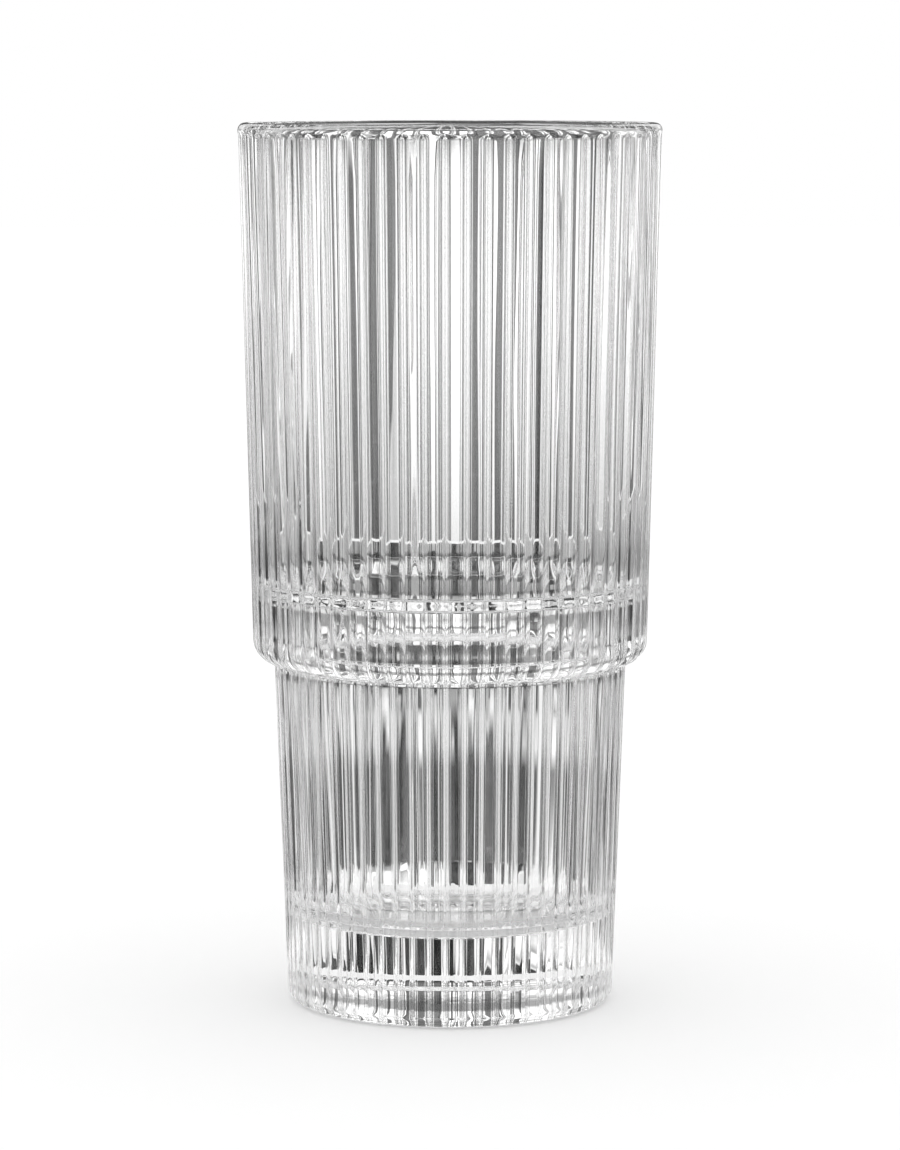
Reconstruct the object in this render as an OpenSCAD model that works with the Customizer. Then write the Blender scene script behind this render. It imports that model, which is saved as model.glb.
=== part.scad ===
// Stacking highball glass with reeds all round, one piece of clear pressed glass.
// The glass is drawn as zones that meet face to face on level planes. Its two straight walls are
// drawn as a left and a right half, which meet on the upright plane through the axis.
// Millimetres, +Z up. The origin is the centre of the ring that the glass stands on.

/* [Overall] */
// Height from the table to the lip
glass_h = 160; // [130:1:200]
// Number of reeds round the glass
reed_count = 64; // [48:4:80]

/* [Rim] */
// Width over the reeds at the lip
rim_d = 76.6; // [70:0.2:90]
// Thickness of the rounded lip
lip_t = 2.6; // [1.8:0.1:4]
// Width of the level crown of the lip
lip_crown_w = 0.4; // [0.2:0.1:1]
// Height over which the reeds run out under the lip
reed_end_h = 1.4; // [0.6:0.1:4]
// Height of the fully reeded part of the rim zone
rim_band_h = 1.5; // [0.5:0.1:5]

/* [Upper wall] */
// Width over the reeds at the shoulder, with the rounding left out
upper_foot_d = 71.8; // [66:0.2:80]
// Wall thickness above the ledge inside
upper_wall_t = 3.1; // [2:0.1:5]
// Depth of the valleys between the reeds
upper_reed_t = 0.4; // [0.2:0.05:0.8]

/* [Shoulder] */
// Height of the shoulder's underside, which rests on the glass below in a stack
shoulder_z = 62.3; // [45:0.1:80]
// Radius of the rounded shoulder
shoulder_r = 4.2; // [3:0.1:6]
// Width of the step from the upper wall in to the lower wall
step_w = 3.8; // [2:0.1:8]
// Height of the ledge's lower end inside, above the shoulder's underside
ledge_rise = 12.3; // [2:0.1:20]
// Height over which the ledge narrows the bore
ledge_h = 3; // [2:0.5:16]
// Height of the straight wall that the shoulder zone keeps above and below
band_h = 2; // [1:0.5:6]

/* [Lower wall] */
// Wall thickness under the ledge
lower_wall_t = 3.5; // [2:0.1:5]
// Wall thickness just above the floor
foot_wall_t = 3.1; // [2:0.1:5]
// Depth of the valleys between the reeds
lower_reed_t = 0.3; // [0.15:0.05:0.6]

/* [Base] */
// Width over the reeds at the table, with the heel rounding left out
foot_d = 59.5; // [52:0.2:66]
// Thickness of the solid glass under the drink
base_t = 15.5; // [8:0.1:24]
// Radius between the floor and the wall inside
floor_r = 6; // [2:0.2:12]
// Radius of the heel
heel_r = 2; // [1:0.1:3]
// Width of the ring that the glass stands on
stand_w = 3.6; // [2:0.1:8]
// Depth of the hollow under the base
punt_t = 1.2; // [0.4:0.1:3]

/* [Hidden] */
$fn = 96;

// Length by which a cutting shape runs past what it cuts
overrun = 2;

// Steps across one reed, round a large and a small arc, and up the ledge
reed_steps = 4;
arc_steps = 5;
turn_steps = 3;
ledge_steps = 10;

// Points round a whole ring of reeds, and from the front of it round to the back
ring_points = reed_count * reed_steps;
half_points = ring_points / 2 + 1;

rim_r = rim_d / 2;
upper_foot_r = upper_foot_d / 2;
lower_top_r = upper_foot_r - step_w;
foot_r = foot_d / 2;

// Height of the ledge's two ends, and height at which each zone starts
ledge_z = shoulder_z + ledge_rise;
ledge_top_z = ledge_z + ledge_h;
upper_z = ledge_top_z + band_h;
band_z = shoulder_z - band_h;
lower_z = base_t + floor_r;

// Lean of the two walls
upper_lean = atan((rim_r - upper_foot_r) / (glass_h - shoulder_z));
lower_lean = atan((lower_top_r - foot_r) / shoulder_z);

// Radius over the reeds at a height
function upper_crest(z) = upper_foot_r + (z - shoulder_z) * tan(upper_lean);
function lower_crest(z) = foot_r + z * tan(lower_lean);

// Roundings of the lip, outside and inside, and the reeds' run-out under it
lip_r = (lip_t - lip_crown_w) / 2;
lip_z = glass_h - lip_r;
reed_end_z = lip_z - reed_end_h;
rim_z = reed_end_z - rim_band_h;
lip_out_x = upper_crest(lip_z) - lip_r;
lip_in_x = lip_out_x - lip_crown_w;

// Centre of the shoulder's rounding, and the turn at which it meets the lower wall
shoulder_cz = shoulder_z + shoulder_r;
shoulder_cx = upper_crest(shoulder_cz) - shoulder_r / cos(upper_lean);
shoulder_turn = -acos(max(0, (lower_top_r - shoulder_cx) / shoulder_r));

// Radius of the bore at its turning points
lip_bore_r = lip_in_x - lip_r;
ledge_top_r = upper_crest(ledge_top_z) - upper_wall_t;
ledge_low_r = lower_top_r - lower_wall_t;
floor_wall_r = lower_crest(lower_z) - foot_wall_t;

// Lean of the bore above and below the ledge
upper_bore_lean = atan((lip_bore_r - ledge_top_r) / (lip_z - ledge_top_z));
lower_bore_lean = atan((ledge_low_r - floor_wall_r) / (ledge_z - lower_z));

// Radius of the ring that the glass stands on
heel_x = lower_crest(heel_r) - heel_r;
punt_r = heel_x - stand_w;

// Ring of reeds: radius and height of the crests, then how far in and up the valleys lie
function upper_ring(z, t) = [upper_crest(z), z, t, 0];
function lower_ring(z, t) = [lower_crest(z), z, t, 0];
function upper_bore_ring(z) = [ledge_top_r + (z - ledge_top_z) * tan(upper_bore_lean), z, 0, 0];
function lower_bore_ring(z) = [floor_wall_r + (z - lower_z) * tan(lower_bore_lean), z, 0, 0];
function turn_ring(x, z, r, a, t) = [x + r * cos(a), z + r * sin(a), t * cos(a), -t * sin(a)];

// Point on a ring of reeds, counted round from a crest at the front
function ring_point(ring, k) =
    let (f = (k % reed_steps) / reed_steps)
    let (into_share = 4 * pow(min(f, 1 - f), 2))
    let (r = ring[0] - ring[2] * into_share)
    let (a = 360 * k / ring_points - 90)
    [r * cos(a), r * sin(a), ring[1] + ring[3] * into_share];

// Points on a drawn arc
function arc(x, z, r, from, to) =
    [for (i = [0 : arc_steps])
        let (a = from + (to - from) * i / arc_steps)
        [x + r * cos(a), z + r * sin(a)]];

// Points up the curved ledge inside
ledge_points = [for (i = [0 : ledge_steps]) let (t = i / ledge_steps)
    [ledge_low_r + (ledge_top_r - ledge_low_r) * t * t * (3 - 2 * t), ledge_z + ledge_h * t]];

// Solid glass through a stack of rings of reeds, from the lowest up
module reeded_loft(rings) {
    n = ring_points;
    top = n * (len(rings) - 1);
    points = [for (ring = rings) for (k = [0 : n - 1]) ring_point(ring, k)];
    low_sides = [for (j = [0 : n : top - n]) for (k = [0 : n - 1])
        [j + k, j + n + k, j + (k + 1) % n]];
    high_sides = [for (j = [0 : n : top - n]) for (k = [0 : n - 1])
        [j + n + k, j + n + (k + 1) % n, j + (k + 1) % n]];
    floor_face = [for (k = [0 : n - 1]) k];
    roof_face = [for (k = [n - 1 : -1 : 0]) top + k];
    polyhedron(points = points, faces = concat(low_sides, high_sides, [floor_face, roof_face]));
}

// Half of a wall, from the first point half way round. It runs from a low ring of reeds up to a high one,
// and each of them has a plain ring of the bore inside it
module half_wall(low, low_bore, high, high_bore, first) {
    n = half_points;
    a = n;
    b = 2 * n;
    c = 3 * n;
    rings = [low, low_bore, high, high_bore];
    points = [for (ring = rings) for (k = [0 : n - 1]) ring_point(ring, first + k)];
    outside = [for (k = [0 : n - 2]) each [[k, b + k, k + 1], [b + k, b + k + 1, k + 1]]];
    inside = [for (k = [0 : n - 2]) each [[a + k, a + k + 1, c + k], [c + k, a + k + 1, c + k + 1]]];
    ends = [[0, a, c, b], [n - 1, b + n - 1, c + n - 1, a + n - 1]];
    floor_faces = [for (k = [0 : n - 2]) [k, k + 1, a + k + 1, a + k]];
    roof_faces = [for (k = [0 : n - 2]) [b + k, c + k, c + k + 1, b + k + 1]];
    polyhedron(points = points, faces = concat(outside, inside, ends, floor_faces, roof_faces));
}

// Inside of the glass, from the rounded floor up through the ledge to the lip
module bore() {
    rotate_extrude()
        polygon(concat(
            [[0, glass_h + overrun], [0, base_t]],
            arc(floor_wall_r - floor_r, lower_z, floor_r, -90, 0),
            ledge_points,
            arc(lip_in_x, lip_z, lip_r, 180, 90),
            [[lip_in_x, glass_h + overrun]]));
}

// Rounded lip where the reeds run out
module rim() {
    color("lightcyan")
        difference() {
            reeded_loft(concat(
                [upper_ring(rim_z, upper_reed_t), upper_ring(reed_end_z, upper_reed_t)],
                [for (i = [0 : turn_steps]) turn_ring(lip_out_x, lip_z, lip_r, 90 * i / turn_steps, 0)]));
            bore();
        }
}

// Straight reeded wall above the ledge
module upper_half(first) {
    half_wall(upper_ring(upper_z, upper_reed_t), upper_bore_ring(upper_z),
        upper_ring(rim_z, upper_reed_t), upper_bore_ring(rim_z), first);
}

module upper_wall_left() {
    color("lightblue")
        upper_half(half_points - 1);
}

module upper_wall_right() {
    color("lightblue")
        upper_half(0);
}

// Stacking shoulder outside and ledge inside
module shoulder() {
    color("powderblue")
        difference() {
            reeded_loft(concat(
                [lower_ring(band_z, lower_reed_t), lower_ring(shoulder_z - upper_reed_t, lower_reed_t)],
                [for (i = [0 : arc_steps])
                    let (a = shoulder_turn + (-upper_lean - shoulder_turn) * i / arc_steps)
                    turn_ring(shoulder_cx, shoulder_cz, shoulder_r, a, upper_reed_t)],
                [upper_ring(upper_z, upper_reed_t)]));
            bore();
        }
}

// Straight reeded wall under the shoulder
module lower_half(first) {
    half_wall(lower_ring(lower_z, lower_reed_t), lower_bore_ring(lower_z),
        lower_ring(band_z, lower_reed_t), lower_bore_ring(band_z), first);
}

module lower_wall_left() {
    color("lightsteelblue")
        lower_half(half_points - 1);
}

module lower_wall_right() {
    color("lightsteelblue")
        lower_half(0);
}

// Hollow under the base
module punt() {
    translate([0, 0, -overrun])
        cylinder(h = overrun + punt_t, r1 = punt_r + overrun, r2 = punt_r - punt_t);
}

// Thick base with the rounded floor, the heel and the hollow underneath
module base() {
    color("skyblue")
        difference() {
            reeded_loft(concat(
                [for (i = [0 : turn_steps])
                    let (t = i / turn_steps)
                    turn_ring(heel_x, heel_r, heel_r, 90 * t - 90, lower_reed_t * t)],
                [lower_ring(lower_z, lower_reed_t)]));
            bore();
            punt();
        }
}

rim();
upper_wall_left();
upper_wall_right();
shoulder();
lower_wall_left();
lower_wall_right();
base();
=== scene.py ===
"""Clear reeded highball glass on a pale floor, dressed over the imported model. Metres, +Z up."""
import math

import bmesh
import bpy
import numpy as np
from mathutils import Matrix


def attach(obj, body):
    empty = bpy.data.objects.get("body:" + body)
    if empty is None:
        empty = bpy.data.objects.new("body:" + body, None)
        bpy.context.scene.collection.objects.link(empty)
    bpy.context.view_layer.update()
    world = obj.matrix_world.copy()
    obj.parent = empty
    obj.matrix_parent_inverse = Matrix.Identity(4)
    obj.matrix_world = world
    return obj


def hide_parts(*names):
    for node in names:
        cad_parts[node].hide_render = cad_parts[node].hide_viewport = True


MM = 0.001
NODES = ("rim", "upper_wall_left", "upper_wall_right", "shoulder",
         "lower_wall_left", "lower_wall_right", "base")

# Outside of the glass, in millimetres, over the crests of the reeds
HEIGHT = 160.0
RIM_R = 38.3
UPPER_FOOT_R = 35.9
SHOULDER_Z = 62.3
SHOULDER_R = 4.2
LOWER_TOP_R = 32.1
FOOT_R = 29.75
HEEL_R = 2.0
NOOK_R = 0.45
NOOK_LIFT = 0.02

# Inside and underside, in millimetres
LIP_R = 1.3
LEDGE_TOP = (33.2, 77.6)
LEDGE_LOW = (28.6, 74.6)
FLOOR_WALL_R = 27.45
FLOOR_Z = 15.5
FLOOR_R = 6.0
PUNT_R = 24.2
PUNT_Z = 1.2
PUNT_POWER = 8

# Unevenness inside: slow upright waves and fine rings in the floor's rounding, in millimetres
WAVE = 0.03
WAVE_COUNTS = (23.0, 37.0, 51.0)
RING_DEPTH = 0.08
RING_PLACES = (0.25, 0.5, 0.72, 0.97)
RING_WIDTH = 0.05

# Reeds
REEDS = 64
REED_PLACES = (-0.5, -0.465, -0.42, -0.34, -0.2, 0.0, 0.2, 0.34, 0.42, 0.465)
UPPER_REED = 0.40
LOWER_REED = 0.30
REED_POWER = 6.0
REED_LIFT = 0.15
REED_TILT = 0.3
LIFT_RATE = 7.3
TILT_RATE = 5.1
VALLEY_ROUND = 0.06
HEEL_FADE = 1.2
REED_END_Z = 158.4
RUN_OUT = 1.2

# Rows of points along the straight stretches, as shares of their length
LOWER_ROWS = np.r_[0.02, np.linspace(0.1, 0.9, 5), 0.95, 0.985]
UPPER_ROWS = np.r_[0.01, 0.03, np.linspace(0.1, 0.9, 6), 0.97, 1.0]
RUN_OUT_ROWS = np.linspace(0.2, 0.9, 6)
UPPER_BORE_ROWS = np.r_[0.02, np.linspace(0.1, 0.9, 6), 0.96, 0.985]
LOWER_BORE_ROWS = np.r_[0.02, np.linspace(0.1, 0.9, 5), 0.96]
PUNT_ROWS = np.array([0.0, 0.5, 0.75, 0.87, 0.94, 0.98, 1.0])
FLOOR_ROWS = np.array([0.97, 0.9, 0.6, 0.0])
SAME_POINT = 1e-7
NO_LENGTH = 1e-8

# Glass: refraction, a faint bump and a faint haze
GLASS_IOR = 1.52
BUMP_STRETCH = (1.0, 1.0, 0.06)
BUMP_SCALE = 180.0
BUMP_DETAIL = 1.0
BUMP_HEIGHT = 0.00004
HAZE_SCALE = 60.0
HAZE_FROM = (0.35, 0.75)
HAZE_TO = (0.0, 0.02)
BOUNCES = 24
GLOSSY_BOUNCES = 16

# Camera
CAMERA_AWAY = 0.800
CAMERA_UP = 0.1693
CAMERA_DOWN_DEG = 6.517
CAMERA_TURN_DEG = 1.5
CAMERA_LENS = 138.24
CAMERA_CLIP = 0.01
SENSOR = 36.0

# Floor, and the sides that the stage's painted reflection and shade tones repeat on
FLOOR_SIZE = 8.0
FLOOR_GAP = 0.0002
FLOOR_GREY = 0.75
FLOOR_GLOW = 0.3
SIDES = 8
TURN_STEP_DEG = 0.5

# Wall of painted reflection and shade, seen only in the glass: its tones by turn within a side, and their
# share by height
WALL_AWAY = 0.75
WALL_HEIGHTS = (0.0, 0.03, 0.09, 0.13, 0.16, 0.19, 0.23, 1.3)
WALL_PAINTED_FADE = (0.60, 0.75, 1.0, 1.0, 0.30, 0.30, 1.0, 1.0)
WALL_TURNS = (0.0, 2.1, 2.9, 5.5, 6.5, 8.0, 12.5, 13.3, 14.3, 15.0, 19.5, 20.5, 22.5)
WALL_PAINTED_TONES = (1.60, 1.60, 0.16, 0.22, 0.03, 0.15, 0.20, 1.50, 1.50, 1.15, 1.25, 1.50, 1.60)

# Sheet of painted shade and light on the floor, seen only in the glass: its tones by distance, their
# stripes by turn, and the painted shade patches at the foot
SHEET_NEAR = 0.045
SHEET_FAR = 0.74
SHEET_ROWS = 120
SHEET_DISTANCES = (0.09, 0.12, 0.34, 0.39, 0.46, 0.48, 0.68, 0.71, 0.74)
SHEET_PAINTED_TONES = (0.90, 0.05, 0.05, 0.70, 0.50, 0.02, 0.02, 0.25, 0.45)
SHEET_PAINTED_STRIPES = (1.6, 0.5, 1.0, 2.0, 0.4, 1.0, 2.0, 0.5, 1.5, 0.6, 1.0, 1.0, 1.0)
SHEET_HALF_DEG = (12.0, 17.0)
SHEET_RAGGED = 0.15
FAR_RING_START = 0.52
FAR_RING_SHARE = 0.7
PATCH_MIDDLE_DEG = 6.0
PATCH_HALF_DEG = 7.0
PATCH_REACH = 0.12
PAINTED_SHADE_PATCH_TONE = 0.02


def line(a, b, shares):
    """Points between a and b at the given shares of the way."""
    a, b = np.array(a), np.array(b)
    return a + (b - a) * np.asarray(shares)[:, None]


def arc(centre, radius, start, end, count):
    """Points on an arc, with its angles in degrees."""
    t = np.radians(np.linspace(start, end, count))
    return np.c_[centre[0] + radius * np.cos(t), centre[1] + radius * np.sin(t)]


def upper_crest(z):
    """Radius over the reeds of the upper wall at a height."""
    return UPPER_FOOT_R + (RIM_R - UPPER_FOOT_R) * (z - SHOULDER_Z) / (HEIGHT - SHOULDER_Z)


def lower_crest(z):
    """Radius over the reeds of the lower wall at a height."""
    return FOOT_R + (LOWER_TOP_R - FOOT_R) * z / SHOULDER_Z


def smooth_step(t):
    """Rise from 0 to 1 that starts and ends level."""
    return t * t * (3.0 - 2.0 * t)


def uneven(number, rate, phase=0.0):
    """Irregular value from -1 to 1 for each whole number, the same in each run."""
    return np.sin(rate * number ** 2 + phase)


def outside_profile():
    """Crest line from the middle of the underside up to the lip, with the reed depth at each point."""
    punt = np.c_[PUNT_R * PUNT_ROWS, PUNT_Z * (1.0 - PUNT_ROWS ** PUNT_POWER)]
    heel = arc((lower_crest(HEEL_R) - HEEL_R, HEEL_R), HEEL_R, -90, -2, 8)
    wall_low = line((lower_crest(HEEL_R), HEEL_R), (LOWER_TOP_R, SHOULDER_Z), LOWER_ROWS)
    nook = arc((LOWER_TOP_R + NOOK_R, SHOULDER_Z - NOOK_R + NOOK_LIFT), NOOK_R, 180, 95, 4)
    lean = math.degrees(math.atan2(RIM_R - UPPER_FOOT_R, HEIGHT - SHOULDER_Z))
    turn_z = SHOULDER_Z + SHOULDER_R
    turn_x = upper_crest(turn_z) - SHOULDER_R / math.cos(math.radians(lean))
    start = -math.degrees(math.acos(min(1.0, (LOWER_TOP_R + NOOK_R - turn_x) / SHOULDER_R)))
    turn = arc((turn_x, turn_z), SHOULDER_R, start, -lean, 13)
    lip_z = HEIGHT - LIP_R
    full_end = (upper_crest(REED_END_Z - RUN_OUT), REED_END_Z - RUN_OUT)
    wall_up = line((upper_crest(turn_z), turn_z), full_end, UPPER_ROWS)
    run_out = line(full_end, (upper_crest(lip_z), lip_z), RUN_OUT_ROWS)
    lip = arc((upper_crest(lip_z) - LIP_R, lip_z), LIP_R, 4, 180, 11)
    parts = [
        (punt, 0.0),
        (heel, LOWER_REED * np.linspace(0.0, 1.0, len(heel)) ** HEEL_FADE),
        (wall_low, LOWER_REED),
        (nook, LOWER_REED),
        (turn, np.linspace(LOWER_REED, UPPER_REED, len(turn))),
        (wall_up, UPPER_REED),
        (run_out, UPPER_REED * (1.0 - smooth_step(np.linspace(0.1, 1.0, len(run_out))))),
        (lip, 0.0),
    ]
    return parts, upper_crest(lip_z) - 2.0 * LIP_R, lip_z


def inside_profile(mouth_r, lip_z):
    """Bore from the lip down to the middle of the floor, with the share of the waves at each point."""
    wall_up = line((mouth_r, lip_z), LEDGE_TOP, UPPER_BORE_ROWS)
    t = np.linspace(0.0, 1.0, 30)
    ledge = np.c_[
        LEDGE_TOP[0] + (LEDGE_LOW[0] - LEDGE_TOP[0]) * smooth_step(t),
        LEDGE_TOP[1] + (LEDGE_LOW[1] - LEDGE_TOP[1]) * t]
    wall_low = line(LEDGE_LOW, (FLOOR_WALL_R, FLOOR_Z + FLOOR_R), LOWER_BORE_ROWS)
    rings = [np.exp(-((t - place) / RING_WIDTH) ** 2) for place in RING_PLACES]
    reach = FLOOR_R + RING_DEPTH * sum(rings)
    turn_angle = np.radians(-90.0 * t)
    turn = np.c_[FLOOR_WALL_R - FLOOR_R + reach * np.cos(turn_angle),
                 FLOOR_Z + FLOOR_R + reach * np.sin(turn_angle)]
    floor = np.c_[(FLOOR_WALL_R - FLOOR_R) * FLOOR_ROWS, np.full(len(FLOOR_ROWS), FLOOR_Z)]
    return [
        (wall_up, 1.0),
        (ledge, 1.0),
        (wall_low, 1.0),
        (turn, np.linspace(1.0, 0.0, len(turn))),
        (floor, 0.0),
    ]


def reed_shape():
    """Angle of each column in reeds, and the share of the reed's depth there.

    The share is 0 on the highest crest and about 1 in a valley.
    """
    phi = np.array(REED_PLACES)
    number = np.arange(REEDS)
    lift = REED_LIFT * uneven(number, LIFT_RATE)
    tilt = REED_TILT * uneven(number, TILT_RATE, 1.0)

    def rise(step):
        p = phi[None, :] - step
        arch = 1.0 - np.abs(2.0 * p) ** REED_POWER
        return arch + np.roll(lift, -step)[:, None] + np.roll(tilt, -step)[:, None] * p

    top = rise(0)
    for step in (-1, 1):
        other = rise(step)
        top = 0.5 * (top + other + np.sqrt((top - other) ** 2 + VALLEY_ROUND ** 2))
    return (number[:, None] + phi[None, :]).ravel(), (top.max() - top).ravel()


def pressed_waves(turn, z):
    """Slow upright waves that pressing leaves in the inside wall."""
    few, some, many = WAVE_COUNTS
    first = np.sin(few * turn + 0.3 * np.sin(z / 17.0))
    second = 0.7 * np.sin(some * turn + 4.1 - 0.2 * np.sin(z / 23.0))
    third = 0.5 * np.sin(many * turn + 2.2 + z / 150.0)
    return first + second + third


def glass_points():
    """Rows of points round the glass, one row for each point of the profile."""
    outside, mouth_r, lip_z = outside_profile()
    inside = inside_profile(mouth_r, lip_z)
    points = np.concatenate([p for p, _ in outside + inside])
    count = sum(len(p) for p, _ in outside)
    shares = np.concatenate([np.broadcast_to(d, len(p)) for p, d in outside + inside])
    depth = np.r_[shares[:count], np.zeros(len(points) - count)]
    wavy = np.r_[np.zeros(count), shares[count:]] * WAVE
    along = np.gradient(points, axis=0)
    out = np.c_[along[:, 1], -along[:, 0]]
    out /= np.maximum(np.linalg.norm(out, axis=1), 1e-9)[:, None]
    phi, shape = reed_shape()
    turn = phi * 2.0 * math.pi / REEDS - math.pi / 2.0
    into = depth[:, None] * shape[None, :]
    into = into + wavy[:, None] * pressed_waves(turn[None, :], points[:, 1:])
    r = points[:, :1] - out[:, :1] * into
    z = points[:, 1:] - out[:, 1:] * into
    return np.stack([r * np.cos(turn), r * np.sin(turn), z + 0.0 * turn], axis=-1) * MM


def new_mesh(name, vertices, faces):
    """Mesh object in the scene."""
    mesh = bpy.data.meshes.new(name)
    mesh.from_pydata(vertices, [], faces)
    obj = bpy.data.objects.new(name, mesh)
    bpy.context.scene.collection.objects.link(obj)
    return obj


def ring_mesh(name, rows):
    """Mesh through rows of points that close round the axis."""
    height, width = rows.shape[:2]
    index = np.arange(height * width).reshape(height, width)
    low, high = index[:-1], index[1:]
    quads = np.stack([low, np.roll(low, -1, 1), np.roll(high, -1, 1), high], -1).reshape(-1, 4)
    return new_mesh(name, rows.reshape(-1, 3).tolist(), quads.tolist())


def build_glass():
    """The whole glass as one closed skin."""
    obj = ring_mesh("reeded_glass", glass_points())
    mesh = obj.data
    work = bmesh.new()
    work.from_mesh(mesh)
    bmesh.ops.remove_doubles(work, verts=work.verts, dist=SAME_POINT)
    bmesh.ops.dissolve_degenerate(work, edges=work.edges, dist=NO_LENGTH)
    bmesh.ops.recalc_face_normals(work, faces=work.faces)
    work.to_mesh(mesh)
    work.free()
    mesh.polygons.foreach_set("use_smooth", [True] * len(mesh.polygons))
    return obj


def node(tree, kind, **values):
    """New node with its settings."""
    made = tree.nodes.new(kind)
    for name, value in values.items():
        setattr(made, name, value)
    return made


def glass_material():
    """Clear pressed glass with a faint upright bump from the mould and a faint haze."""
    mat = bpy.data.materials.new("pressed_glass")
    mat.use_nodes = True
    tree = mat.node_tree
    link = tree.links.new
    shader = tree.nodes["Principled BSDF"]
    shader.inputs["Base Color"].default_value = (1.0, 1.0, 1.0, 1.0)
    shader.inputs["Transmission Weight"].default_value = 1.0
    shader.inputs["IOR"].default_value = GLASS_IOR
    place = node(tree, "ShaderNodeTexCoord")
    stretch = node(tree, "ShaderNodeMapping")
    stretch.inputs["Scale"].default_value = BUMP_STRETCH
    link(place.outputs["Object"], stretch.inputs["Vector"])
    waves = node(tree, "ShaderNodeTexNoise")
    waves.inputs["Scale"].default_value = BUMP_SCALE
    waves.inputs["Detail"].default_value = BUMP_DETAIL
    link(stretch.outputs["Vector"], waves.inputs["Vector"])
    bump = node(tree, "ShaderNodeBump")
    bump.inputs["Strength"].default_value = 1.0
    bump.inputs["Distance"].default_value = BUMP_HEIGHT
    link(waves.outputs["Fac"], bump.inputs["Height"])
    link(bump.outputs["Normal"], shader.inputs["Normal"])
    grain = node(tree, "ShaderNodeTexNoise")
    grain.inputs["Scale"].default_value = HAZE_SCALE
    link(place.outputs["Object"], grain.inputs["Vector"])
    haze = node(tree, "ShaderNodeMapRange")
    haze.inputs["From Min"].default_value = HAZE_FROM[0]
    haze.inputs["From Max"].default_value = HAZE_FROM[1]
    haze.inputs["To Min"].default_value = HAZE_TO[0]
    haze.inputs["To Max"].default_value = HAZE_TO[1]
    link(grain.outputs["Fac"], haze.inputs["Value"])
    link(haze.outputs["Result"], shader.inputs["Roughness"])
    return mat


def seen_rays(tree):
    """1 for rays that the camera, a reflection or the glass sends, and 0 for light on other things."""
    path = node(tree, "ShaderNodeLightPath")
    first = node(tree, "ShaderNodeMath", operation="MAXIMUM")
    second = node(tree, "ShaderNodeMath", operation="MAXIMUM")
    tree.links.new(path.outputs["Is Camera Ray"], first.inputs[0])
    tree.links.new(path.outputs["Is Glossy Ray"], first.inputs[1])
    tree.links.new(first.outputs[0], second.inputs[0])
    tree.links.new(path.outputs["Is Transmission Ray"], second.inputs[1])
    return second.outputs[0]


def bare_material(name):
    """Material with only its output node, with its tree and that node."""
    mat = bpy.data.materials.new(name)
    mat.use_nodes = True
    tree = mat.node_tree
    tree.nodes.clear()
    return mat, tree, node(tree, "ShaderNodeOutputMaterial")


def floor_material():
    """Pale matt floor that glows a little where it is seen, and still takes the shadow."""
    mat, tree, out = bare_material("pale_floor")
    link = tree.links.new
    paint = node(tree, "ShaderNodeBsdfDiffuse")
    paint.inputs["Color"].default_value = (FLOOR_GREY,) * 3 + (1.0,)
    glow = node(tree, "ShaderNodeEmission")
    level = node(tree, "ShaderNodeMath", operation="MULTIPLY")
    level.inputs[1].default_value = FLOOR_GLOW
    both = node(tree, "ShaderNodeAddShader")
    link(seen_rays(tree), level.inputs[0])
    link(level.outputs[0], glow.inputs["Strength"])
    link(paint.outputs[0], both.inputs[0])
    link(glow.outputs[0], both.inputs[1])
    link(both.outputs[0], out.inputs["Surface"])
    return mat


def painted_light_material(name):
    """Glow of the painted tone stored at each point: painted reflection, highlight and shade that show
    only in the glass.
    """
    mat, tree, out = bare_material(name)
    light = node(tree, "ShaderNodeEmission")
    painted_tone = node(tree, "ShaderNodeVertexColor", layer_name="painted_tone")
    tree.links.new(painted_tone.outputs["Color"], light.inputs["Color"])
    tree.links.new(light.outputs[0], out.inputs["Surface"])
    return mat


def build_floor():
    """Plain floor just under the glass."""
    half = FLOOR_SIZE / 2.0
    corners = [(-half, -half), (half, -half), (half, half), (-half, half)]
    floor = new_mesh("floor", [(x, y, -FLOOR_GAP) for x, y in corners], [(0, 1, 2, 3)])
    floor.data.materials.append(floor_material())


def round_turns():
    """Turns of the stage's columns in degrees, from behind the glass, and their place within one side."""
    turns = np.arange(0.0, 360.0, TURN_STEP_DEG)
    side = 360.0 / SIDES
    return turns, (turns + side / 2.0) % side - side / 2.0


def painted_light_sheet(name, points, painted_tones):
    """A stage surface with a painted tone at each point, which shows only in the glass as painted
    reflection and shade.
    """
    obj = ring_mesh(name, points)
    colours = np.ones((painted_tones.size, 4))
    colours[:, :3] = painted_tones.reshape(-1, 1)
    layer = obj.data.color_attributes.new("painted_tone", "FLOAT_COLOR", "POINT")
    layer.data.foreach_set("color", colours.ravel())
    obj.data.materials.append(painted_light_material(name))
    # Seen only in the glass, so these painted tones light nothing and cast no shadow
    obj.visible_camera = False
    obj.visible_diffuse = False
    obj.visible_shadow = False


def build_painted_reflection_wall():
    """Glowing wall all round, seen only in the glass, with upright stripes of grey and white: painted
    reflection and painted shade.
    """
    turns, within = round_turns()
    t = np.radians(turns)
    ring = np.stack([WALL_AWAY * np.sin(t), WALL_AWAY * np.cos(t), 0.0 * t], -1)
    points = np.stack([ring + (0.0, 0.0, z) for z in WALL_HEIGHTS])
    # Painted reflection in the glass: bright and grey stripes by turn, faded by height
    painted_tones = np.interp(np.abs(within), WALL_TURNS, WALL_PAINTED_TONES)
    painted_light_sheet("painted_reflection_wall", points, np.outer(WALL_PAINTED_FADE, painted_tones))


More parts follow.
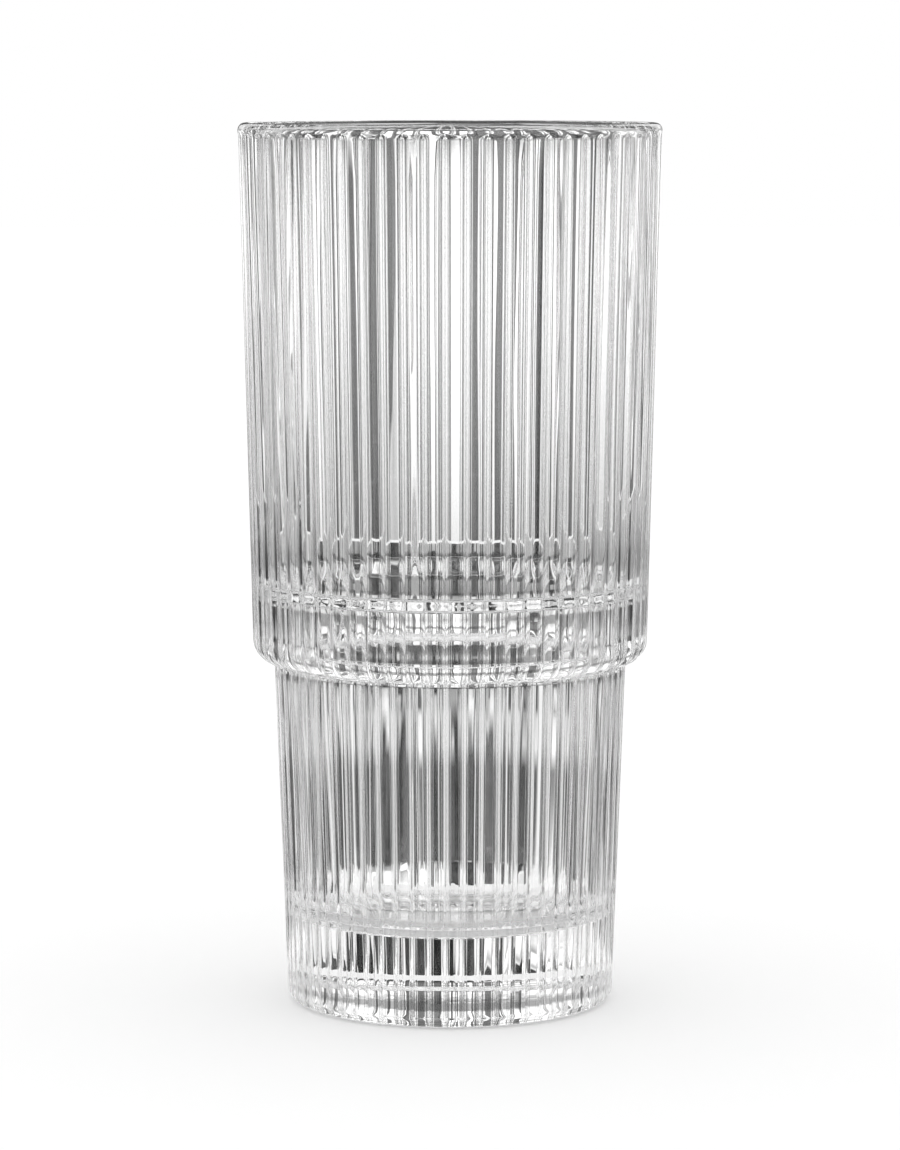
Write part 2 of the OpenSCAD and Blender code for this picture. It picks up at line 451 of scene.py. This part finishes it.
def build_painted_shade_sheet():
    """Sheet on the floor, seen only in the glass, with ragged rings of grey on each side and dark patches
    at the foot: painted shade, with some painted light.
    """
    turns, within = round_turns()
    t = np.radians(turns)
    away = SHEET_NEAR * (SHEET_FAR / SHEET_NEAR) ** np.linspace(0.0, 1.0, SHEET_ROWS)
    away = away[:, None]
    points = np.stack([away * np.sin(t), away * np.cos(t), 0.0 * away * t + FLOOR_GAP], -1)
    ragged = 1.0 + SHEET_RAGGED * uneven(np.round(within / (2.0 * TURN_STEP_DEG)), LIFT_RATE)
    # Painted shade and light in the glass: grey and dark rings by distance, striped by turn
    rings = np.interp(away * ragged[None, :], SHEET_DISTANCES, SHEET_PAINTED_TONES)
    rings = rings * np.interp(np.abs(within), WALL_TURNS, SHEET_PAINTED_STRIPES)[None, :]
    inner, outer = SHEET_HALF_DEG
    share = np.clip((outer - np.abs(within)) / (outer - inner), 0.0, 1.0)[None, :]
    share = np.where(away > FAR_RING_START, np.maximum(share, FAR_RING_SHARE), share)
    painted_tones = rings * share + 1.0 - share
    # Painted shade: near-black patches on the floor at the foot of the glass
    painted_shade_patch = (away < PATCH_REACH) & (np.abs(within - PATCH_MIDDLE_DEG) < PATCH_HALF_DEG)[None, :]
    painted_light_sheet("painted_shade_sheet", points, np.where(painted_shade_patch, PAINTED_SHADE_PATCH_TONE, painted_tones))


def build_world():
    """Even white light from all round."""
    world = bpy.data.worlds.new("studio")
    world.use_nodes = True
    back = world.node_tree.nodes["Background"]
    back.inputs["Color"].default_value = (1.0, 1.0, 1.0, 1.0)
    back.inputs["Strength"].default_value = 1.0
    bpy.context.scene.world = world


def build_camera():
    """Camera in front of the glass, a little above the rim and turned down."""
    lens = bpy.data.cameras.new("camera")
    lens.lens = CAMERA_LENS
    lens.sensor_width = SENSOR
    lens.sensor_fit = "AUTO"
    lens.clip_start = CAMERA_CLIP
    camera = bpy.data.objects.new("camera", lens)
    turn = math.radians(CAMERA_TURN_DEG)
    camera.location = (-CAMERA_AWAY * math.sin(turn), -CAMERA_AWAY * math.cos(turn), CAMERA_UP)
    camera.rotation_euler = (math.pi / 2.0 - math.radians(CAMERA_DOWN_DEG), 0.0, -turn)
    bpy.context.scene.collection.objects.link(camera)
    bpy.context.scene.camera = camera


def set_render():
    """Plain view, with enough bounces for light to pass right through the glass."""
    scene = bpy.context.scene
    scene.view_settings.view_transform = "Standard"
    scene.cycles.max_bounces = BOUNCES
    scene.cycles.transmission_bounces = BOUNCES
    scene.cycles.glossy_bounces = GLOSSY_BOUNCES
    scene.cycles.use_denoising = True


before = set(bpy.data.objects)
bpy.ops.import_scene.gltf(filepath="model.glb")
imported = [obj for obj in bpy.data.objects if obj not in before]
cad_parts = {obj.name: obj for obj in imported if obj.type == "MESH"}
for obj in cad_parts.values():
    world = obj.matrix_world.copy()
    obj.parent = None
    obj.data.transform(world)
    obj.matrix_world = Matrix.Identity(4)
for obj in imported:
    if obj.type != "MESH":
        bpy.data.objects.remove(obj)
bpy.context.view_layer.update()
glass = build_glass()
glass.data.materials.append(glass_material())
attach(glass, "root")
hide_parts(*NODES)
build_floor()
build_painted_reflection_wall()
build_painted_shade_sheet()
build_world()
build_camera()
set_render()
